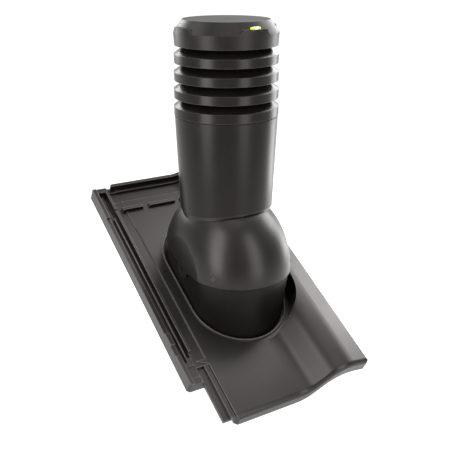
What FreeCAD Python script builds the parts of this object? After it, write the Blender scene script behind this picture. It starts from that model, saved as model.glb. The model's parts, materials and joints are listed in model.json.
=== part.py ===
import FreeCAD
import Part
import math
import os

V = FreeCAD.Vector

# Roof tile vent: a moulded pan tile carries a fixed ball, and a hood with the
# vent pipe tilts on that ball about a level cross axis to suit the roof pitch.
# Lengths are in millimetres and angles in degrees. Everything is first placed about
# the hinge axis (X across the tile, -Y down the slope, Z up the pipe).
# The tile's own features are given as X across, v up the slope and a height over the pan.

# Roof and hinge
roof_pitch = 27.0
hinge_above_pan = 37.9
run_gap = 0.7
seat_gap = 0.4

# Tile plate: outline
tile_foot_v = -247.0
tile_head_v = 236.0
pan_left_x = -99.0
tile_wall = 4.0
skirt_depth = 21.0
skirt_wall = 4.0
nose_round = 7.0
corner_cut = 6.0

# Tile plate: roll on the right
roll_foot_x = 25.8
roll_foot_round = 38.0
roll_peak_x = 70.5
roll_peak_height = 46.4
roll_crest_round = 48.0
roll_end_x = 124.0
roll_end_height = 35.0
side_skirt_drop = 20.0
side_skirt_flare = 3.0

# Tile plate: side interlock on the left
lock_left_x = -143.0
lock_lean = 1.0
lock_foot_v = -178.0
lock_top = 4.0
lock_bottom = -17.5
lock_strip = 7.0
channel_wide = 6.5
channel_floor = -6.0
fin_wide = 2.0
fin_top = 0.0
deep_wide = 6.0
deep_floor = -9.0
bar_wide = 4.0
bar_top = 2.5
ledge_level = -1.5
crease_wide = 2.0
crease_head_v = 130.0
channel_foot_v = -133.0
fin_foot_v = -140.0
bar_foot_v = -124.0
lock_step_v = 164.0
lock_step_drop = 3.0
channel_head_v = 226.0
bar_notch_v = 177.0
bar_notch_long = 5.0
notch_foot_v = -126.0
tab_foot_v = -107.0
tab_head_v = -85.0
panel_foot_v = -166.0
panel_head_v = -147.0
panel_deep = 2.0
panel_round = 3.0
block_round = 4.0

# Tile plate: side lap flange below the interlock
flange_left_x = -119.0
flange_foot_v = -242.0
flange_level = -6.0
flange_rib_x = -107.0
flange_rib_wide = 7.0
flange_rib_rise = 4.0
ramp_foot_v = -152.0
ramp_head_v = -142.0

# Tile plate: head
head_wall = 6.0
head_rise = 9.6
head_left_x = -111.0
head_round = 5.0
trough_foot_v = 199.0
trough_head_v = 224.0
trough_deep = 5.0
trough_right_x = 24.0
rib_foot_v = 174.0
rib_wide = 6.0
rib_rise = 6.0
rib_splay = 4.0
rib_gaps = (-114.0, -64.0, -2.0)
rib_gap_wide = 7.0
rib_end_x = 26.0

# Tile plate: hanging nib under the head
nib_half = 40.0
nib_v = 196.0
nib_thick = 8.0
nib_deep = 13.0

# Tile plate: opening, lip and pocket in the roll
open_r = 80.0
open_foot_v = -56.0
open_head_v = 43.0
lip_wall = 2.2
lip_rise = 3.0
pocket_gap = 6.5
pocket_wall = 3.5

# Ball insert
ball_wall = 3.0
ball_drop = 11.0
ball_bends = 8
ball_slot_front = 24.0
ball_slot_back = 139.0
insert_flange = 3.0
insert_reach = 10.0
trunnion_r = 6.0

# Hood
hood_arc_r = 83.0
hood_arc_offset = 37.0
hood_half = 81.5
hood_wall = 3.0
hood_front_rim = 0.0
hood_back_rim = 25.0
ear_r = 15.0
neck_r = 69.0
neck_wall = 3.0
seat_z = 130.0

# Lock screws
screw_x = 69.5
screw_angle = 9.0
screw_head_r = 4.2
screw_head_rise = 0.6
screw_sink = 1.2
screw_shank_r = 1.6

# Pipe sleeve
sleeve_top_z = 238.6
sleeve_top_r = 77.5
sleeve_rim_r = 72.1
sleeve_rim_z = 92.3
sleeve_rim_rise = 9.9
sleeve_wall = 2.6
shelf_thick = 3.0

# Inner duct
duct_r = 52.0
duct_wall = 2.5
duct_top_z = 226.0
duct_bottom_z = -190.0
duct_collar_reach = 9.0
duct_collar_thick = 3.0
spigot_chamfer = 1.5
spigot_long = 60.0
bead_rise = 2.5
bead_high = 4.0

# Louvre head
collar_top_z = 253.2
collar_over = 0.7
collar_wall = 3.2
seam_high = 1.5
seam_deep = 1.6
plug_deep = 10.0
plug_wall = 3.0
ring_count = 3
ring_first_z = 265.7
ring_pitch = 25.2
ring_high = 12.6
ring_setback = 0.3
ring_step_r = 0.55
ring_draft = 0.3
blade_thick = 2.6
blade_rise = 12.0
blade_run = 17.9
post_count = 6
post_thick = 4.0
post_wide = 8.0

# Cap
cap_bottom_z = 340.7
cap_shoulder_z = 359.6
cap_top_z = 376.6
cap_draft = 1.4
cap_setback = 1.2
cap_chamfer_run = 13.4
cap_wall = 3.0
cap_tab_count = 4
cap_tab_rise = 7.8
cap_tab_foot_half = 25.4
cap_tab_top_half = 19.4
cap_turn = 2.5
cap_dimple_r = 2.0
cap_dimple_deep = 0.6

# Level vial
vial_half = 7.2
vial_wide = 5.0
vial_high = 6.0
vial_sink = 2.6
vial_in = 1.4
vial_round = 1.8


def face(points):
    return Part.Face(Part.makePolygon(points + points[:1]))


def prism_v(points, v0, v1):
    outline = face([V(x, v0, h - hinge_above_pan) for x, h in points])
    return outline.extrude(V(0, v1 - v0, 0))


def block(x0, x1, v0, v1, h0, h1):
    return prism_v([(x0, h0), (x1, h0), (x1, h1), (x0, h1)], v0, v1)


def prism_h(points, h0, h1):
    outline = face([V(x, v, h0 - hinge_above_pan) for x, v in points])
    return outline.extrude(V(0, 0, h1 - h0))


def stadium(r, h0, h1):
    z = h0 - hinge_above_pan
    foot = Part.Arc(V(-r, open_foot_v, z), V(0, open_foot_v - r, z), V(r, open_foot_v, z))
    head = Part.Arc(V(r, open_head_v, z), V(0, open_head_v + r, z), V(-r, open_head_v, z))
    right = Part.makeLine(V(r, open_foot_v, z), V(r, open_head_v, z))
    left = Part.makeLine(V(-r, open_head_v, z), V(-r, open_foot_v, z))
    wire = Part.Wire([foot.toShape(), right, head.toShape(), left])
    return Part.Face(wire).extrude(V(0, 0, h1 - h0))


def tube_x(r, x0, x1):
    return Part.makeCylinder(r, x1 - x0, V(x0, 0, 0), V(1, 0, 0))


def revolve_z(points):
    return face([V(r, 0, z) for r, z in points]).revolve(V(0, 0, 0), V(0, 0, 1), 360)


def spin_z(shape, angle):
    turned = shape.copy()
    turned.rotate(V(0, 0, 0), V(0, 0, 1), angle)
    return turned


def fuse_all(shapes):
    return shapes[0].multiFuse(shapes[1:])


# Barrel about the X axis: the outer side of a ring surface, closed by flat round ends
def barrel(arc_r, half):
    end = math.degrees(math.asin(half / arc_r))
    return Part.makeTorus(hood_arc_offset, arc_r, V(0, 0, 0), V(1, 0, 0), -end, end, 360)


# Hollow inside such a barrel, turned from straight runs that stay outside the arc
def barrel_hollow(arc_r, half):
    end = math.asin(half / arc_r)
    step = end / ball_bends
    corner_r = arc_r / math.cos(step)
    rim = [V(corner_r * math.sin(k * step), 0, hood_arc_offset + corner_r * math.cos(k * step))
           for k in range(1 - ball_bends, ball_bends, 2)]
    end_r = hood_arc_offset + corner_r * math.cos(end) / math.cos(step)
    rim = [V(-half, 0, end_r)] + rim + [V(half, 0, end_r)]
    return face([V(-half, 0, 0)] + rim + [V(half, 0, 0)]).revolve(V(0, 0, 0), V(1, 0, 0), 360)


# Straight wall that runs on from the barrel's front, square to the radius at that angle
def barrel_skirt(arc_r, half, angle):
    end_r = hood_arc_offset + math.sqrt(arc_r ** 2 - half ** 2)
    a, b, c, d = V(-half, 0, 0), V(half, 0, 0), V(half, -end_r, 0), V(-half, -end_r, 0)
    crown = Part.Arc(c, V(0, -hood_arc_offset - arc_r, 0), d)
    wire = Part.Wire([Part.makeLine(a, b), Part.makeLine(b, c), crown.toShape(), Part.makeLine(d, a)])
    wall = Part.Face(wire).extrude(V(0, 0, -far / 2))
    wall.rotate(V(0, 0, 0), V(-1, 0, 0), angle)
    return wall


# Sector about the X axis, angles from the front over the top to the back
def sector(start, end, r, half):
    flat = face([V(-half, 0, 0), V(half, 0, 0), V(half, -r, 0), V(-half, -r, 0)])
    flat.rotate(V(0, 0, 0), V(-1, 0, 0), start)
    return flat.revolve(V(0, 0, 0), V(-1, 0, 0), end - start)


# Path of straight runs whose corners are rounded by tangent arcs
def rounded(points, radii):
    edges = []
    start = points[0]
    for before, corner, after, r in zip(points, points[1:], points[2:], radii):
        back = (before - corner).normalize()
        ahead = (after - corner).normalize()
        half = 0.5 * back.getAngle(ahead)
        first = corner + back * (r / math.tan(half))
        last = corner + ahead * (r / math.tan(half))
        middle = corner + (back + ahead).normalize() * (r / math.sin(half) - r)
        edges.append(Part.makeLine(start, first))
        edges.append(Part.Arc(first, middle, last).toShape())
        start = last
    edges.append(Part.makeLine(start, points[-1]))
    return edges


# Top of the pan and the roll across the tile, lifted by some height
def top_path(lift, v, left_x=pan_left_x):
    z = lift - hinge_above_pan
    corners = [V(left_x, v, z), V(roll_foot_x, v, z), V(roll_peak_x, v, z + roll_peak_height),
               V(roll_end_x, v, z + roll_end_height)]
    return rounded(corners, [roll_foot_round, roll_crest_round])


# Layer that follows the top of the pan and the roll between two lifts
def layer(low, high, v0, v1, left_x=pan_left_x):
    zt = high - hinge_above_pan
    zb = low - hinge_above_pan
    right = Part.makeLine(V(roll_end_x, v0, zt + roll_end_height), V(roll_end_x, v0, zb + roll_end_height))
    left = Part.makeLine(V(left_x, v0, zb), V(left_x, v0, zt))
    edges = top_path(high, v0, left_x) + [right] + top_path(low, v0, left_x) + [left]
    wire = Part.Wire(Part.__sortEdges__(edges))
    return Part.Face(wire).extrude(V(0, v1 - v0, 0))


# Tile plate
far = 400.0
pocket_r = open_r + pocket_gap + lip_wall
sheet = layer(-tile_wall, 0, tile_foot_v, tile_head_v)
front_skirt = layer(-skirt_depth, 0, tile_foot_v, tile_foot_v + skirt_wall)
side_skirt = prism_v([(roll_end_x - skirt_wall, roll_end_height - tile_wall), (roll_end_x, roll_end_height - tile_wall),
                      (roll_end_x, roll_end_height),
                      (roll_end_x + side_skirt_flare, roll_end_height - side_skirt_drop),
                      (roll_end_x + side_skirt_flare - skirt_wall, roll_end_height - side_skirt_drop)],
                     tile_foot_v, tile_head_v)
main = fuse_all([sheet, front_skirt]).removeSplitter()
nose_line = Part.Wire(top_path(0, tile_foot_v))
nose = []
for edge in main.Edges:
    middle = edge.valueAt(0.5 * (edge.FirstParameter + edge.LastParameter))
    if nose_line.distToShape(Part.Vertex(middle))[0] < 1e-4:
        nose.append(edge)
main = main.makeFillet(nose_round, nose)
far_corner = prism_h([(roll_end_x + side_skirt_flare + 1, tile_foot_v - 1), (roll_end_x + side_skirt_flare + 1, tile_foot_v + corner_cut),
                      (roll_end_x + side_skirt_flare - corner_cut, tile_foot_v - 1)], -far / 4, far / 4)
near_corner = prism_h([(pan_left_x - 1, tile_foot_v - 1), (pan_left_x + corner_cut, tile_foot_v - 1),
                       (pan_left_x - 1, tile_foot_v + corner_cut)], -far / 4, far / 4)
pan_side = block(pan_left_x, pan_left_x + skirt_wall, tile_foot_v + skirt_wall, lock_foot_v + tile_wall, -skirt_depth,
                 -tile_wall)

# Side interlock: channels, fin and bar run up the slope
strip_in_x = lock_left_x + lock_lean + lock_strip
fin_x = strip_in_x + channel_wide
deep_x = fin_x + fin_wide
bar_x = deep_x + deep_wide
ledge_x = bar_x + bar_wide
base_h = deep_floor - tile_wall
lock = prism_v([(lock_left_x, lock_bottom), (lock_left_x + lock_lean, lock_top), (strip_in_x, lock_top),
                (strip_in_x, fin_top), (bar_x, fin_top), (bar_x, bar_top), (ledge_x, bar_top),
                (ledge_x, ledge_level), (pan_left_x - crease_wide, ledge_level), (pan_left_x, 0),
                (pan_left_x, -tile_wall), (ledge_x, -tile_wall - 2), (ledge_x, base_h),
                (lock_left_x + lock_lean + tile_wall, base_h), (lock_left_x + tile_wall, lock_bottom)],
               lock_foot_v, tile_head_v)
outer_channel = block(strip_in_x, fin_x, fin_foot_v, channel_head_v, channel_floor, lock_top + 1)
deep_channel = block(deep_x, bar_x, channel_foot_v, channel_head_v, deep_floor, bar_top + 1)
bar_end = block(bar_x, ledge_x, lock_foot_v - 1, bar_foot_v, ledge_level, bar_top + 1)
bar_notch = block(bar_x, ledge_x, bar_notch_v, bar_notch_v + bar_notch_long, ledge_level, bar_top + 1)
fin_end = block(fin_x, deep_x, lock_step_v, channel_head_v, channel_floor, bar_top + 1)
strip_step = block(lock_left_x, strip_in_x, tab_head_v, lock_step_v, lock_top - lock_step_drop, lock_top + 1)
strip_notch = block(lock_left_x, strip_in_x, notch_foot_v, tab_foot_v, lock_top - lock_step_drop, lock_top + 1)
panel = block(strip_in_x, flange_left_x, panel_foot_v, panel_head_v, fin_top - panel_deep, bar_top + 1)
panel = panel.makeFillet(panel_round, [e for e in panel.Edges if e.BoundBox.ZLength > panel_deep])
lock = lock.cut(fuse_all([outer_channel, deep_channel, fin_end, bar_end, bar_notch, strip_step, strip_notch, panel]))
head_bridge = block(strip_in_x, ledge_x, channel_head_v, tile_head_v, base_h, bar_top)
end_wall = block(lock_left_x + lock_lean, pan_left_x, lock_foot_v, lock_foot_v + tile_wall, lock_bottom, ledge_level)
pan_step = prism_h([(pan_left_x - crease_wide, tile_head_v), (pan_left_x, tile_head_v), (pan_left_x, crease_head_v),
                    (pan_left_x - crease_wide, crease_head_v + 3 * crease_wide)], ledge_level - 1, 0)
lock = fuse_all([lock, end_wall, pan_step, head_bridge])
corner = prism_h([(lock_left_x - 1, lock_foot_v - 1), (lock_left_x + lock_lean + block_round, lock_foot_v - 1),
                  (lock_left_x - 1, lock_foot_v + lock_lean + block_round)], lock_bottom - 1, lock_top + 1)
lock = lock.cut(corner)

# Side lap flange with one rib, reached by a small ramp
lap = block(flange_left_x, pan_left_x + skirt_wall, flange_foot_v, ramp_head_v, flange_level - tile_wall, flange_level)
lap_rib = block(flange_rib_x, flange_rib_x + flange_rib_wide, flange_foot_v, ramp_foot_v, flange_level - 1,
                flange_level + flange_rib_rise)
lap_drop = block(flange_left_x, pan_left_x, lock_foot_v - 1, ramp_foot_v, flange_level, bar_top + 1)
ramp = prism_h([(ledge_x, ramp_head_v), (pan_left_x, ramp_head_v), (pan_left_x, ramp_foot_v)], flange_level, 0)
lock = fuse_all([lock.cut(lap_drop), lap, lap_rib, ramp])

# Head: upstand, trough and broken cross rib
upstand = layer(-tile_wall, head_rise, tile_head_v - head_wall, tile_head_v, head_left_x)
round_post = Part.makeCylinder(head_round, far, V(head_left_x + head_round, tile_head_v - head_round, -far / 2), V(0, 0, 1))
corner_block = block(head_left_x - 1, head_left_x + head_round, tile_head_v - head_round, tile_head_v + 1,
                     -tile_wall - 1, head_rise + 1)
upstand = upstand.cut(corner_block.cut(round_post))
trough = layer(-trough_deep, far / 4, trough_foot_v, trough_head_v, ledge_x).common(
    block(ledge_x, trough_right_x, trough_foot_v, trough_head_v, -far, far))
trough_under = layer(-trough_deep - tile_wall, -tile_wall, trough_foot_v - tile_wall, trough_head_v + tile_wall, ledge_x)
trough_under = trough_under.common(block(ledge_x, trough_right_x + tile_wall, tile_foot_v, tile_head_v, -far, far))
cross = fuse_all([layer(0, rib_rise, rib_foot_v, rib_foot_v + rib_wide),
                  block(ledge_x, pan_left_x, rib_foot_v, rib_foot_v + rib_wide, ledge_level, rib_rise)])
cross = cross.common(block(ledge_x, rib_end_x, rib_foot_v, rib_foot_v + rib_wide, -far, far))
for gap_x in rib_gaps:
    half_gap = 0.5 * rib_gap_wide
    gap = prism_v([(gap_x - half_gap, ledge_level), (gap_x + half_gap, ledge_level),
                   (gap_x + half_gap + rib_splay, rib_rise + 1), (gap_x - half_gap - rib_splay, rib_rise + 1)],
                  rib_foot_v - 1, rib_foot_v + rib_wide + 1)
    cross = cross.cut(gap)
nib = block(-nib_half, nib_half, nib_v, nib_v + nib_thick, -trough_deep - tile_wall - nib_deep, -trough_deep - 1)

body = fuse_all([main, side_skirt, pan_side]).cut(fuse_all([near_corner, far_corner]))
tile = fuse_all([body, lock, upstand, trough_under, cross, nib]).cut(trough)

# Opening: the pocket is cut out of the roll, walled, floored at pan level and lipped
under_top = layer(-far / 4, 0, tile_foot_v, tile_head_v)
tub = stadium(pocket_r + pocket_wall, -tile_wall, far / 4).cut(stadium(pocket_r, -tile_wall, far / 4))
tub = tub.common(under_top)
floor = stadium(pocket_r + pocket_wall, -tile_wall, 0)
lip = stadium(open_r + lip_wall, -tile_wall, lip_rise)
tile = tile.cut(stadium(pocket_r, -tile_wall - 1, far / 4))
tile = fuse_all([tile, tub, floor, lip]).cut(stadium(open_r, -tile_wall - 1, far / 4))

# Ball insert: barrel under the hood, with a flange that lies against the underside of the tile
ball_arc = hood_arc_r - hood_wall - run_gap
ball_half = hood_half - hood_wall - run_gap
flange_bottom = -tile_wall - insert_flange
above = block(-far, far, -far, far, flange_bottom, far)
skirt_angle = roof_pitch - ball_drop
insert = fuse_all([barrel(ball_arc, ball_half), barrel_skirt(ball_arc, ball_half, skirt_angle)]).common(above)
insert = insert.fuse(stadium(open_r + insert_reach, flange_bottom, -tile_wall))
insert = insert.cut(fuse_all([barrel_hollow(ball_arc - ball_wall, ball_half - ball_wall),
                              barrel_skirt(ball_arc - ball_wall, ball_half - ball_wall, skirt_angle)]))
insert.rotate(V(0, 0, 0), V(1, 0, 0), roof_pitch)
insert = insert.cut(sector(ball_slot_front, ball_slot_back, far, ball_half - ball_wall))
for side in (-1, 1):
    root = ball_half - 1
    tip = hood_half
    insert = insert.fuse(tube_x(trunnion_r, min(side * root, side * tip), max(side * root, side * tip)))
tile.rotate(V(0, 0, 0), V(1, 0, 0), roof_pitch)

# Hood: barrel shell over the ball with a neck for the sleeve
inner_hood = barrel_hollow(hood_arc_r - hood_wall, hood_half - hood_wall)
hood_span = sector(hood_front_rim, 180.0 - hood_back_rim, far, far)
hood = barrel(hood_arc_r, hood_half).cut(inner_hood).common(hood_span)
neck = Part.makeCylinder(neck_r, seat_z).cut(inner_hood)
ears = fuse_all([tube_x(ear_r, -hood_half, -hood_half + hood_wall), tube_x(ear_r, hood_half - hood_wall, hood_half)])
hood = fuse_all([hood, neck, ears])
hood = hood.cut(Part.makeCylinder(neck_r - neck_wall, seat_z + 1))
hood = hood.cut(tube_x(trunnion_r + seat_gap, -far, far))

# Lock screws, square to the hood beside its rim
screw_parts = []
for side in (-1, 1):
    out = math.sqrt(hood_arc_r ** 2 - screw_x ** 2)
    turn = math.radians(screw_angle)
    reach = hood_arc_offset + out
    point = V(side * screw_x, -reach * math.cos(turn), reach * math.sin(turn))
    normal = V(side * screw_x, -out * math.cos(turn), out * math.sin(turn))
    normal.normalize()
    seat = point - normal * screw_sink
    hood = hood.cut(Part.makeCylinder(screw_head_r + seat_gap, 4 * screw_sink, seat, normal))
    hood = hood.cut(Part.makeCylinder(screw_shank_r + seat_gap, 4 * hood_wall, point - normal * 2 * hood_wall, normal))
    head = Part.makeCylinder(screw_head_r, screw_sink + screw_head_rise, seat, normal)
    rim = [e for e in head.Edges if (e.BoundBox.Center - seat).dot(normal) > screw_sink]
    head = head.makeChamfer(screw_head_rise, rim)
    shank = Part.makeCylinder(screw_shank_r, hood_wall - screw_sink, point - normal * hood_wall, normal)
    screw_parts.append(head.fuse(shank))
screws = Part.makeCompound(screw_parts)

# Pipe sleeve: tapered, saddle-cut rim, inner shelf that sits on the neck
taper = (sleeve_top_r - sleeve_rim_r) / (sleeve_top_z - sleeve_rim_z)


def sleeve_r(z):
    return sleeve_top_r - taper * (sleeve_top_z - z)


low_z = sleeve_rim_z - 1
shelf_in = duct_r + seat_gap
sleeve = revolve_z([(sleeve_r(low_z), low_z), (sleeve_top_r, sleeve_top_z), (sleeve_top_r - sleeve_wall, sleeve_top_z),
                    (sleeve_r(seat_z + shelf_thick) - sleeve_wall, seat_z + shelf_thick),
                    (shelf_in, seat_z + shelf_thick), (shelf_in, seat_z),
                    (sleeve_r(seat_z) - sleeve_wall, seat_z), (sleeve_r(low_z) - sleeve_wall, low_z)])
saddle_r = (sleeve_rim_r ** 2 + sleeve_rim_rise ** 2) / (2 * sleeve_rim_rise)
saddle = Part.makeCylinder(saddle_r, far, V(-far / 2, 0, sleeve_rim_z + saddle_r), V(1, 0, 0))
sleeve = sleeve.common(saddle)

# Inner duct: one pipe from the head to the spigot, its collar lies on the sleeve's shelf
# and a bead above the spigot stops the hose
duct_in = duct_r - duct_wall
collar_z = seat_z + shelf_thick
bead_z = duct_bottom_z + spigot_chamfer + spigot_long
duct = revolve_z([(duct_in, duct_bottom_z), (duct_r - spigot_chamfer, duct_bottom_z),
                  (duct_r, duct_bottom_z + spigot_chamfer), (duct_r, bead_z), (duct_r + bead_rise, bead_z),
                  (duct_r + bead_rise, bead_z + bead_high), (duct_r, bead_z + bead_high), (duct_r, collar_z), (duct_r + duct_collar_reach, collar_z),
                  (duct_r + duct_collar_reach, collar_z + duct_collar_thick), (duct_r, collar_z + duct_collar_thick),
                  (duct_r, duct_top_z), (duct_in, duct_top_z)])

# Louvre head: collar with a plug in the sleeve, sloping blade rings and upright posts
plug_r = sleeve_r(sleeve_top_z - plug_deep) - sleeve_wall - seat_gap
collar_r = sleeve_top_r + collar_over
ring_first_r = collar_r - ring_setback
blade_inner_r = ring_first_r - blade_run
blade_drop = blade_thick * math.hypot(blade_rise, ring_first_r - blade_inner_r) / (ring_first_r - blade_inner_r)


def blade_ring(outer, foot_r, bottom, top, wall):
    return [(foot_r, bottom), (outer, top), (blade_inner_r, top + blade_rise),
            (blade_inner_r, top + blade_rise - blade_drop), (outer - wall, top - blade_drop), (foot_r - wall, bottom)]


groove_r = sleeve_top_r - seam_deep
rings = [revolve_z(blade_ring(collar_r, collar_r, sleeve_top_z + seam_high, collar_top_z, collar_wall)),
         revolve_z([(plug_r - plug_wall, sleeve_top_z), (groove_r, sleeve_top_z), (groove_r, sleeve_top_z + 2 * seam_high),
                    (plug_r - plug_wall, sleeve_top_z + 2 * seam_high)]),
         revolve_z([(plug_r - plug_wall, sleeve_top_z - plug_deep), (plug_r, sleeve_top_z - plug_deep),
                    (plug_r, sleeve_top_z + seam_high), (plug_r - plug_wall, sleeve_top_z + seam_high)])]
for index in range(ring_count):
    bottom = ring_first_z + index * ring_pitch
    outer = ring_first_r - index * ring_step_r
    rings.append(revolve_z(blade_ring(outer, outer - ring_draft, bottom, bottom + ring_high, collar_wall)))
post_out = blade_inner_r + 1
post_low = collar_top_z + blade_rise - blade_drop
post = Part.makeBox(post_wide, post_thick, cap_top_z - cap_wall - post_low,
                    V(post_out - post_wide, -post_thick / 2, post_low))
posts = [spin_z(post, 360.0 * (k + 0.5) / post_count) for k in range(post_count)]
louvre = fuse_all(rings + posts)

# Cap: drafted wall, wide chamfer and four tabs flush with the wall
cap_shoulder_r = collar_r - cap_setback
cap_bottom_r = cap_shoulder_r - cap_draft
cap_top_r = cap_shoulder_r - cap_chamfer_run
chamfer_rise = cap_top_z - cap_shoulder_z
chamfer_run = cap_chamfer_run
slant = math.hypot(chamfer_rise, chamfer_run)
inner_top_z = cap_top_z - cap_wall
inner_top_r = cap_top_r + (cap_wall * chamfer_run - cap_wall * slant) / chamfer_rise
inner_shoulder_z = cap_shoulder_z + (cap_wall * chamfer_rise - cap_wall * slant) / chamfer_run
hollow = revolve_z([(0, cap_bottom_z - 1), (cap_bottom_r - cap_wall, cap_bottom_z - 1),
                    (cap_bottom_r - cap_wall, cap_bottom_z),
                    (cap_shoulder_r - cap_wall, inner_shoulder_z), (inner_top_r, inner_top_z), (0, inner_top_z)])
cap_out = revolve_z([(0, cap_bottom_z), (cap_bottom_r, cap_bottom_z), (cap_shoulder_r, cap_shoulder_z),
                     (cap_top_r, cap_top_z), (0, cap_top_z)])
tab_top_z = cap_shoulder_z + cap_tab_rise
tab = face([V(-cap_tab_foot_half, 0, cap_shoulder_z), V(cap_tab_foot_half, 0, cap_shoulder_z),
            V(cap_tab_top_half, 0, tab_top_z), V(-cap_tab_top_half, 0, tab_top_z)]).extrude(V(0, -far, 0))
tab = tab.common(Part.makeCylinder(cap_shoulder_r, cap_tab_rise, V(0, 0, cap_shoulder_z)))
tab = tab.cut(Part.makeCylinder(0.5 * cap_top_r, cap_tab_rise, V(0, 0, cap_shoulder_z)))
tabs = [spin_z(tab, 360.0 * k / cap_tab_count) for k in range(cap_tab_count)]
dimple = Part.makeCylinder(cap_dimple_r, cap_dimple_deep + 1, V(0, 0, cap_top_z - cap_dimple_deep))
cap = fuse_all([cap_out] + tabs).cut(hollow).cut(dimple)

# Level vial, let into the front tab's ledge
vial_y = -cap_shoulder_r + vial_in + vial_wide
vial_z = tab_top_z - vial_sink
vial = Part.makeBox(2 * vial_half, vial_wide, vial_high, V(-vial_half, vial_y - vial_wide, vial_z))
vial = vial.makeFillet(vial_round, [e for e in vial.Edges if e.BoundBox.ZMin > vial_z + 0.5 * vial_high])
socket = Part.makeBox(2 * vial_half + 2 * seat_gap, vial_wide + 2 * seat_gap, 2 * vial_high,
                      V(-vial_half - seat_gap, vial_y - vial_wide - seat_gap, vial_z))
cap = spin_z(cap.cut(socket), cap_turn)
vial = spin_z(vial, cap_turn)

# Reference point: middle of the nib's bearing face
nib_h = -trough_deep - tile_wall - 0.5 * nib_deep - hinge_above_pan
pitch = math.radians(roof_pitch)
origin = V(0, nib_v * math.cos(pitch) - nib_h * math.sin(pitch), nib_v * math.sin(pitch) + nib_h * math.cos(pitch))

nodes = {"tile_plate": tile, "ball_insert": insert, "hood": hood, "lock_screws": screws, "pipe_sleeve": sleeve,
         "inner_duct": duct, "louvre_head": louvre, "vent_cap": cap, "level_vial": vial}
os.makedirs("parts", exist_ok=True)
for name, shape in nodes.items():
    placed = shape.removeSplitter()
    placed.translate(origin.negative())
    placed.exportStep("parts/" + name + ".step")
    box = placed.BoundBox
    print(name, "valid", placed.isValid(), "solids", len(placed.Solids), "volume", round(placed.Volume),
          "x", round(box.XMin, 1), round(box.XMax, 1), "y", round(box.YMin, 1), round(box.YMax, 1),
          "z", round(box.ZMin, 1), round(box.ZMax, 1))
print("hinge point", round(-origin.x, 3), round(-origin.y, 3), round(-origin.z, 3))
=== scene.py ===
import bpy
import bmesh
import json
import math
from mathutils import Matrix, Vector

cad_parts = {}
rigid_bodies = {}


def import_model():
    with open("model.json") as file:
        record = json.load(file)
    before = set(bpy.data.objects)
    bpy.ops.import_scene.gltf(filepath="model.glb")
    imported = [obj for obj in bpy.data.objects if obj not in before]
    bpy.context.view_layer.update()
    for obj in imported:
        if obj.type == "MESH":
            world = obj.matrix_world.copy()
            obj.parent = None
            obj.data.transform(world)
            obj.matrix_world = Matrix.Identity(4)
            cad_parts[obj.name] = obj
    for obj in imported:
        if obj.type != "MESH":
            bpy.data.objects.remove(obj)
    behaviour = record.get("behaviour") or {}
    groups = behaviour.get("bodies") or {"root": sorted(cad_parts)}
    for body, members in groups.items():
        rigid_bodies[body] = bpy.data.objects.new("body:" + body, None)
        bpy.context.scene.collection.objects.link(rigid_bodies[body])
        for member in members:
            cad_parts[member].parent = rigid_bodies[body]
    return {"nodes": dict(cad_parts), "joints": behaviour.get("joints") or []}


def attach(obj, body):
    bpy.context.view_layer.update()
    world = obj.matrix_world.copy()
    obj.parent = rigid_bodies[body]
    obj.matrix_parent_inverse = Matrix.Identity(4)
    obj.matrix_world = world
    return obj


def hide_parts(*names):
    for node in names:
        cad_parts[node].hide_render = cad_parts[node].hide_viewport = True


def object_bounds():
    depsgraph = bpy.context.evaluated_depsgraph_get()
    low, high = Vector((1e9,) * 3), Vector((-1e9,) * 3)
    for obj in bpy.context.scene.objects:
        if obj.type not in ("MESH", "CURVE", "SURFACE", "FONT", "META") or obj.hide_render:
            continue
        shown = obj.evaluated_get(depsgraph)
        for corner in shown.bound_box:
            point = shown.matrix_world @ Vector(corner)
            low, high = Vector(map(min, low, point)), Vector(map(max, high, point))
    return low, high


for leftover in list(bpy.data.objects):
    bpy.data.objects.remove(leftover)

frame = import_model()
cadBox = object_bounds()
hinge = Vector(frame["joints"][0]["pos_m"])  # tilt axis of the hood, the point everything is measured from
print("frame loaded:", len(frame["nodes"]), "nodes, hinge at", [round(c, 4) for c in hinge])
mergeMm = 0.002  # points nearer than this become one


def mm(value):
    return value * 0.001


def fromHinge(x, y, z):
    return hinge + Vector((mm(x), mm(y), mm(z)))


# sRGB hex to linear
def hexLinear(code):
    parts = [int(code[i:i + 2], 16) / 255 for i in (1, 3, 5)]
    return [c / 12.92 if c <= 0.04045 else ((c + 0.055) / 1.055) ** 2.4 for c in parts] + [1.0]


# Settings name an input socket, or else a property of the node
def addNode(tree, kind, settings=None, links=None):
    node = tree.nodes.new(kind)
    for key, value in (settings or {}).items():
        if isinstance(key, int) or key in node.inputs:
            node.inputs[key].default_value = value
        else:
            setattr(node, key, value)
    for key, socket in (links or {}).items():
        tree.links.new(socket, node.inputs[key])
    return node


def newTree(name):
    mat = bpy.data.materials.new(name)
    mat.use_nodes = True
    mat.node_tree.nodes.clear()
    return mat, mat.node_tree


# What all the plastic pieces share: spans are the part of a noise or of the edge test that is used
plasticSettings = {
    "flowDetail": 3.0, "flowRough": 0.55, "tintSpan": (0.35, 0.68), "glossSpan": (0.3, 0.7),
    "gritDetail": 2.0, "gritRough": 0.6, "gritSpan": (0.3, 0.75), "speck": (0.9, 1.1), "grainMm": 0.06,
    "edgeSamples": 6, "highlightSamples": 8, "highlightSpan": (0.93, 0.6), "ior": 1.49, "glint": "#fff8f4",
}
mixSocket = {"factor": 0, "first": 6, "second": 7, "result": 2}  # where a Mix node keeps its colours


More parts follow.
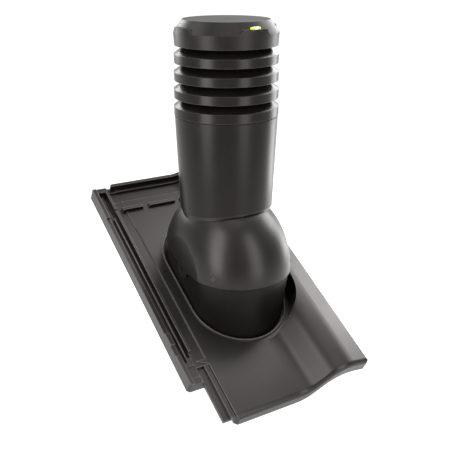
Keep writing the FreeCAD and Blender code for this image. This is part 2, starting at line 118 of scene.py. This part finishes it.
# Injection-moulded polypropylene, satin: a fine spark-eroded grain softens every highlight,
# the pigment clouds a little where the melt flowed, and mould edges are slightly rounded.
def mouldedPolypropylene(name, look):
    p = plasticSettings
    mat, tree = newTree(name)
    place = addNode(tree, "ShaderNodeTexCoord").outputs["Object"]
    flow = addNode(tree, "ShaderNodeTexNoise",
                   {"Scale": 1 / mm(look["flowMm"]), "Detail": p["flowDetail"], "Roughness": p["flowRough"]},
                   {"Vector": place})
    # real grit is near 0.1 mm, drawn coarser so that it shows
    grit = addNode(tree, "ShaderNodeTexNoise",
                   {"Scale": 1 / mm(look["gritMm"]), "Detail": p["gritDetail"], "Roughness": p["gritRough"]},
                   {"Vector": place})
    tint = addNode(tree, "ShaderNodeValToRGB", None, {"Fac": flow.outputs["Fac"]})
    for stop, spot, shadeName in zip(tint.color_ramp.elements, p["tintSpan"], ("deep", "pale")):
        stop.position = spot
        stop.color = hexLinear(look[shadeName])
    speck = addNode(tree, "ShaderNodeMapRange",
                    {"From Min": p["gritSpan"][0], "From Max": p["gritSpan"][1],
                     "To Min": p["speck"][0], "To Max": p["speck"][1]},
                    {"Value": grit.outputs["Fac"]})
    shade = addNode(tree, "ShaderNodeVectorMath", {"operation": "SCALE"},
                    {"Vector": tint.outputs["Color"], "Scale": speck.outputs["Result"]})
    sheen = addNode(tree, "ShaderNodeMapRange",
                    {"From Min": p["glossSpan"][0], "From Max": p["glossSpan"][1],
                     "To Min": look["gloss"][0], "To Max": look["gloss"][1]},
                    {"Value": flow.outputs["Fac"]})
    edge = mm(look["edgeMm"])
    corner = addNode(tree, "ShaderNodeBevel", {"samples": p["edgeSamples"], "Radius": edge})
    # outer edges get a painted highlight: a paler base colour mixed in where the next face is near from
    # inside
    inside = addNode(tree, "ShaderNodeAmbientOcclusion",
                     {"samples": p["highlightSamples"], "inside": True, "only_local": True, "Distance": edge})
    paintedEdgeHighlight = addNode(tree, "ShaderNodeMapRange", {"From Min": p["highlightSpan"][0], "From Max": p["highlightSpan"][1]},
                     {"Value": inside.outputs["AO"]})
    colour = addNode(tree, "ShaderNodeMix",
                     {"data_type": "RGBA", mixSocket["second"]: hexLinear(look["edgeHighlight"])},
                     {mixSocket["factor"]: paintedEdgeHighlight.outputs["Result"],
                      mixSocket["first"]: shade.outputs["Vector"]})
    relief = addNode(tree, "ShaderNodeBump", {"Strength": look["grain"], "Distance": mm(p["grainMm"])},
                     {"Height": grit.outputs["Fac"], "Normal": corner.outputs["Normal"]})
    surface = addNode(tree, "ShaderNodeBsdfPrincipled",
                      {"IOR": p["ior"], "Specular IOR Level": look["specular"],
                       "Specular Tint": hexLinear(p["glint"])},
                      {"Base Color": colour.outputs[mixSocket["result"]],
                       "Roughness": sheen.outputs["Result"], "Normal": relief.outputs["Normal"]})
    addNode(tree, "ShaderNodeOutputMaterial", None, {"Surface": surface.outputs["BSDF"]})
    return mat


# the paler edge colour in each look is a painted highlight on outer edges, not wear
plasticLooks = {
    "tile": {"deep": "#0c0a09", "pale": "#11100e", "edgeHighlight": "#4d4845", "flowMm": 60, "gritMm": 0.9,
             "grain": 0.22, "gloss": (0.33, 0.39), "edgeMm": 1.6, "specular": 0.34},
    "ball": {"deep": "#0a0908", "pale": "#0e0c0b", "edgeHighlight": "#1a1816", "flowMm": 50, "gritMm": 0.8,
             "grain": 0.16, "gloss": (0.34, 0.40), "edgeMm": 0.9, "specular": 0.12},
    "hood": {"deep": "#0b0a09", "pale": "#100e0d", "edgeHighlight": "#24211f", "flowMm": 50, "gritMm": 0.8,
             "grain": 0.14, "gloss": (0.31, 0.37), "edgeMm": 1.0, "specular": 0.29},
    "pipe": {"deep": "#0b0a09", "pale": "#100e0d", "edgeHighlight": "#1e1b1a", "flowMm": 70, "gritMm": 0.8,
             "grain": 0.14, "gloss": (0.28, 0.33), "edgeMm": 0.8, "specular": 0.175},
    "louvre": {"deep": "#0b0a09", "pale": "#100e0d", "edgeHighlight": "#36322f", "flowMm": 40, "gritMm": 0.8,
               "grain": 0.12, "gloss": (0.25, 0.29), "edgeMm": 1.1, "specular": 0.185},
    "cap": {"deep": "#0b0a09", "pale": "#100e0d", "edgeHighlight": "#33302d", "flowMm": 40, "gritMm": 0.8,
            "grain": 0.14, "gloss": (0.36, 0.41), "edgeMm": 0.9, "specular": 0.2},
    "duct": {"deep": "#0d0b0a", "pale": "#12100e", "edgeHighlight": "#2a2725", "flowMm": 55, "gritMm": 1.0,
             "grain": 0.2, "gloss": (0.45, 0.55), "edgeMm": 0.8, "specular": 0.3},
}
finishes = {name: mouldedPolypropylene(name + "MouldedPlastic", look) for name, look in plasticLooks.items()}
wears = {
    "tile_plate": "tile", "ball_insert": "ball", "hood": "hood", "pipe_sleeve": "pipe",
    "louvre_head": "louvre", "vent_cap": "cap", "inner_duct": "duct",
}
for nodeName, finish in wears.items():
    mesh = frame["nodes"][nodeName].data
    mesh.materials.clear()
    mesh.materials.append(finishes[finish])
print("plastic finishes on", len(wears), "nodes")


def newPiece(name, bm, material, body, nodeName):
    bmesh.ops.remove_doubles(bm, verts=bm.verts, dist=mm(mergeMm))
    bmesh.ops.recalc_face_normals(bm, faces=bm.faces)
    mesh = bpy.data.meshes.new(name)
    bm.to_mesh(mesh)
    bm.free()
    piece = bpy.data.objects.new(name, mesh)
    bpy.context.scene.collection.objects.link(piece)
    mesh.materials.append(material)
    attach(piece, body)
    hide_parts(nodeName)


# Clear acrylic block vial, drawn opaque under a clear coat: yellow-green spirit at both ends,
# the pale bubble between two dark rings
vialSettings = {
    "size": (14.4, 5.0, 6.0), "centre": (0, -73.1, 367.8), "turn": 2.5, "round": 1.8, "roundSteps": 5,
    "spirit": "#c3d422", "bubble": "#fbfdf4", "ring": "#4f5a12",
    "fill": ((0.27, "ring"), (0.30, "bubble"), (0.70, "ring"), (0.73, "spirit")),
    "roughness": 0.12, "coat": 0.6, "coatRoughness": 0.05,
}
vialMat, tree = newTree("spiritVialAcrylic")
place = addNode(tree, "ShaderNodeTexCoord").outputs["Object"]
along = addNode(tree, "ShaderNodeSeparateXYZ", None, {"Vector": place})
vialTurn = Matrix.Rotation(math.radians(vialSettings["turn"]), 4, "Z")
vialPlace = Matrix.Translation(hinge) @ vialTurn @ Matrix.Translation([mm(c) for c in vialSettings["centre"]])
half = mm(vialSettings["size"][0] / 2)
middle = vialPlace.translation.x
run = addNode(tree, "ShaderNodeMapRange", {"From Min": middle - half, "From Max": middle + half},
              {"Value": along.outputs["X"]})
fill = addNode(tree, "ShaderNodeValToRGB", None, {"Fac": run.outputs["Result"]})
fill.color_ramp.interpolation = "CONSTANT"
fill.color_ramp.elements[0].color = hexLinear(vialSettings["spirit"])
fill.color_ramp.elements.remove(fill.color_ramp.elements[1])
for spot, shadeName in vialSettings["fill"]:
    fill.color_ramp.elements.new(spot).color = hexLinear(vialSettings[shadeName])
surface = addNode(tree, "ShaderNodeBsdfPrincipled",
                  {"Roughness": vialSettings["roughness"], "Coat Weight": vialSettings["coat"],
                   "Coat Roughness": vialSettings["coatRoughness"]},
                  {"Base Color": fill.outputs["Color"]})
addNode(tree, "ShaderNodeOutputMaterial", None, {"Surface": surface.outputs["BSDF"]})
bm = bmesh.new()
bmesh.ops.create_cube(bm, size=1.0)
bmesh.ops.scale(bm, verts=bm.verts, vec=[mm(c) for c in vialSettings["size"]])
topEdges = [e for e in bm.edges if all(v.co.z > 0 for v in e.verts)]
bmesh.ops.bevel(bm, geom=topEdges, offset=mm(vialSettings["round"]), offset_type="OFFSET", affect="EDGES",
                segments=vialSettings["roundSteps"], profile=0.5, material=-1)
bmesh.ops.transform(bm, verts=bm.verts, matrix=vialPlace)
newPiece("levelVial", bm, vialMat, "stack", "level_vial")

# Blackened steel lock screws: dull oxide, paler in worn patches
# arcR and arcOffset are the hood's own, so that the heads sit on its skin
screwSettings = {
    "x": 69.5, "angle": 9.0, "arcR": 83.0, "arcOffset": 37.0, "head": 4.2, "rise": 0.6, "sink": 1.2,
    "shank": 1.6, "wall": 3.0, "topBand": 0.6, "cross": (2.1, 0.5), "crossDeep": 0.9, "steps": 24,
    "oxide": "#1a1817", "worn": "#2b2826", "wearMm": 1.2, "wearDetail": 3.0, "wearSpan": (0.4, 0.75),
    "roughness": 0.48, "specular": 0.36,
}
s = screwSettings
screwMat, tree = newTree("blackenedSteel")
place = addNode(tree, "ShaderNodeTexCoord").outputs["Object"]
wear = addNode(tree, "ShaderNodeTexNoise", {"Scale": 1 / mm(s["wearMm"]), "Detail": s["wearDetail"]},
               {"Vector": place})
tint = addNode(tree, "ShaderNodeValToRGB", None, {"Fac": wear.outputs["Fac"]})
for stop, spot, shadeName in zip(tint.color_ramp.elements, s["wearSpan"], ("oxide", "worn")):
    stop.position = spot
    stop.color = hexLinear(s[shadeName])
surface = addNode(tree, "ShaderNodeBsdfPrincipled",
                  {"Roughness": s["roughness"], "Specular IOR Level": s["specular"]},
                  {"Base Color": tint.outputs["Color"]})
addNode(tree, "ShaderNodeOutputMaterial", None, {"Surface": surface.outputs["BSDF"]})
flat = s["head"] - s["rise"]
profile = [(flat - s["topBand"], s["rise"]), (flat, s["rise"]), (s["head"], 0), (s["head"], -s["sink"]),
           (s["shank"], -s["sink"]), (s["shank"], -s["wall"]), (0, -s["wall"])]
arm, slot = s["cross"]
quarter = [Vector((mm(x), mm(y), mm(s["rise"]))) for x, y in ((slot, slot), (slot, arm), (-slot, arm))]
quarterTurns = [Matrix.Rotation(math.tau * k / 4, 3, "Z") for k in range(4)]
lean = math.radians(s["angle"])
out = math.sqrt(s["arcR"] ** 2 - s["x"] ** 2)
reach = s["arcOffset"] + out
screws = bmesh.new()
for side in (-1, 1):
    bm = bmesh.new()
    points = [bm.verts.new((mm(r), 0, mm(z))) for r, z in profile]
    line = [bm.edges.new(pair) for pair in zip(points, points[1:])]
    bmesh.ops.spin(bm, geom=points + line, cent=(0, 0, 0), axis=(0, 0, 1), dvec=(0, 0, 0), angle=math.tau,
                   steps=s["steps"], use_merge=True, use_duplicate=False)
    bmesh.ops.remove_doubles(bm, verts=bm.verts, dist=mm(mergeMm))
    rimEdges = [e for e in bm.edges if e.is_boundary]
    mouth = [bm.verts.new(quarterTurn @ point) for quarterTurn in quarterTurns for point in quarter]
    mouthEdges = [bm.edges.new((mouth[k], mouth[k - 1])) for k in range(len(mouth))]
    bmesh.ops.bridge_loops(bm, edges=rimEdges + mouthEdges)
    walls = bmesh.ops.extrude_edge_only(bm, edges=mouthEdges)["geom"]
    deep = [v for v in walls if isinstance(v, bmesh.types.BMVert)]
    bmesh.ops.translate(bm, verts=deep, vec=(0, 0, -mm(s["crossDeep"])))
    wallEdges = [e for e in walls if isinstance(e, bmesh.types.BMEdge)]
    bmesh.ops.contextual_create(bm, geom=[e for e in wallEdges if all(v in deep for v in e.verts)])
    normal = Vector((side * s["x"], -out * math.cos(lean), out * math.sin(lean))).normalized()
    seat = Matrix.Translation(fromHinge(side * s["x"], -reach * math.cos(lean), reach * math.sin(lean)))
    bmesh.ops.transform(bm, verts=bm.verts, matrix=seat @ normal.to_track_quat("Z", "Y").to_matrix().to_4x4())
    one = bpy.data.meshes.new("screwDraft")
    bm.to_mesh(one)
    bm.free()
    screws.from_mesh(one)
    bpy.data.meshes.remove(one)
newPiece("lockScrews", screws, screwMat, "stack", "lock_screws")
print("vial and lock screws built")

# Camera where the photograph was taken from
cameraSettings = {
    "place": (-511.4, -877.0, 458.4), "aim": (0.46872, 0.80373, -0.36650), "lens": 54.4, "sensor": 36.0,
    "shiftX": -0.003, "farM": 50.0,
}
camData = bpy.data.cameras.new("photoCamera")
camData.lens = cameraSettings["lens"]
camData.sensor_width = cameraSettings["sensor"]
camData.shift_x = cameraSettings["shiftX"]
camData.clip_end = cameraSettings["farM"]
cam = bpy.data.objects.new("photoCamera", camData)
cam.location = fromHinge(*cameraSettings["place"])
cam.rotation_euler = Vector(cameraSettings["aim"]).to_track_quat("-Z", "Y").to_euler()
bpy.context.scene.collection.objects.link(cam)
bpy.context.scene.camera = cam

# Floor: pale paper, white where it is seen or mirrored, with the soft shadow kept
floorSettings = {"sizeM": 14.0, "squares": 8, "dropMm": 1.5, "colour": "#c8c8c6", "glow": 0.60}
bm = bmesh.new()
bmesh.ops.create_grid(bm, x_segments=floorSettings["squares"], y_segments=floorSettings["squares"],
                      size=floorSettings["sizeM"])
bmesh.ops.translate(bm, verts=bm.verts, vec=(0, 0, cadBox[0].z - mm(floorSettings["dropMm"])))
floorMesh = bpy.data.meshes.new("studioFloor")
bm.to_mesh(floorMesh)
bm.free()
studioFloor = bpy.data.objects.new("studioFloor", floorMesh)
bpy.context.scene.collection.objects.link(studioFloor)
floorMat, floorTree = newTree("paleStudioFloor")
floorPaint = addNode(floorTree, "ShaderNodeBsdfDiffuse", {"Color": hexLinear(floorSettings["colour"])})
ray = addNode(floorTree, "ShaderNodeLightPath")
mirrored = addNode(floorTree, "ShaderNodeMath", {"operation": "ADD"},
                   {0: ray.outputs["Is Camera Ray"], 1: ray.outputs["Is Glossy Ray"]})
seen = addNode(floorTree, "ShaderNodeMath", {"operation": "ADD", "use_clamp": True},
               {0: mirrored.outputs[0], 1: ray.outputs["Is Transmission Ray"]})
level = addNode(floorTree, "ShaderNodeMath", {"operation": "MULTIPLY", 1: floorSettings["glow"]},
                {0: seen.outputs[0]})
floorGlow = addNode(floorTree, "ShaderNodeEmission", None, {"Strength": level.outputs[0]})
floorSum = addNode(floorTree, "ShaderNodeAddShader", None,
                   {0: floorPaint.outputs[0], 1: floorGlow.outputs[0]})
addNode(floorTree, "ShaderNodeOutputMaterial", None, {"Surface": floorSum.outputs[0]})
floorMesh.materials.append(floorMat)

# Studio: a white sweep behind and overhead that fades to a dimmer room in front
surround = {
    "dim": 0.32, "pale": 0.90, "fade": (-0.8, 0.1), "towards": (0.40, 0.69, 0.60), "colour": "#f6f6f6",
}
world = bpy.data.worlds.new("studioSurround")
bpy.context.scene.world = world
world.use_nodes = True
worldTree = world.node_tree
worldTree.nodes.clear()
looking = addNode(worldTree, "ShaderNodeTexCoord").outputs["Generated"]
facing = addNode(worldTree, "ShaderNodeVectorMath", {"operation": "DOT_PRODUCT", 1: surround["towards"]},
                 {0: looking})
worldLevel = addNode(worldTree, "ShaderNodeMapRange",
                     {"From Min": surround["fade"][0], "From Max": surround["fade"][1],
                      "To Min": surround["dim"], "To Max": surround["pale"]},
                     {"Value": facing.outputs["Value"]})
worldSky = addNode(worldTree, "ShaderNodeBackground", {"Color": hexLinear(surround["colour"])},
                   {"Strength": worldLevel.outputs["Result"]})
addNode(worldTree, "ShaderNodeOutputWorld", None, {"Surface": worldSky.outputs[0]})

# Soft boxes: level is the brightness of the panel, white paper being 1
softBoxes = {
    "leftBox": {"place": (-861, -280, 420), "aim": (0, 0, 150), "size": (400, 1120), "level": 6.6},
    "frontBox": {"place": (137, -889, 400), "aim": (0, 0, 150), "size": (360, 1120), "level": 4.2},
    "topBox": {"place": (565, 130, 1050), "aim": (0, 0, 0), "size": (500, 700), "level": 5.9},
    "overheadBox": {"place": (-60, -170, 1350), "aim": (0, 0, 0), "size": (700, 700), "level": 1.9},
    "rightCard": {"place": (768, 65, 130), "aim": (0, 0, 130), "size": (320, 560), "level": 4.6},
    "rightHighBox": {"place": (1083, 70, 590), "aim": (110, -110, -60), "size": (560, 440), "level": 7.0},
    "leftCard": {"place": (-345, 690, 335), "aim": (0, 0, 335), "size": (320, 240), "level": 4.6},
    "leftHighBox": {"place": (-576, 380, 1116), "aim": (0, 0, 300), "size": (480, 480), "level": 3.0},
    "backRightBox": {"place": (1000, 680, 690), "aim": (0, 0, 260), "size": (520, 520), "level": 4.0},
    "backLeftBox": {"place": (-145, 1190, 690), "aim": (0, 0, 260), "size": (560, 520), "level": 5.0},
}
wattsPerLevel = 4  # for each square metre of panel
for boxName, box in softBoxes.items():
    lamp = bpy.data.lights.new(boxName, "AREA")
    lamp.shape = "RECTANGLE"
    lamp.size, lamp.size_y = mm(box["size"][0]), mm(box["size"][1])
    lamp.energy = wattsPerLevel * box["level"] * lamp.size * lamp.size_y
    lampObject = bpy.data.objects.new(boxName, lamp)
    lampObject.location = fromHinge(*box["place"])
    towards = fromHinge(*box["aim"]) - lampObject.location
    lampObject.rotation_euler = towards.to_track_quat("-Z", "Y").to_euler()
    bpy.context.scene.collection.objects.link(lampObject)
print("studio ready with", len(softBoxes), "soft boxes")

bpy.context.scene.view_settings.view_transform = "Standard"
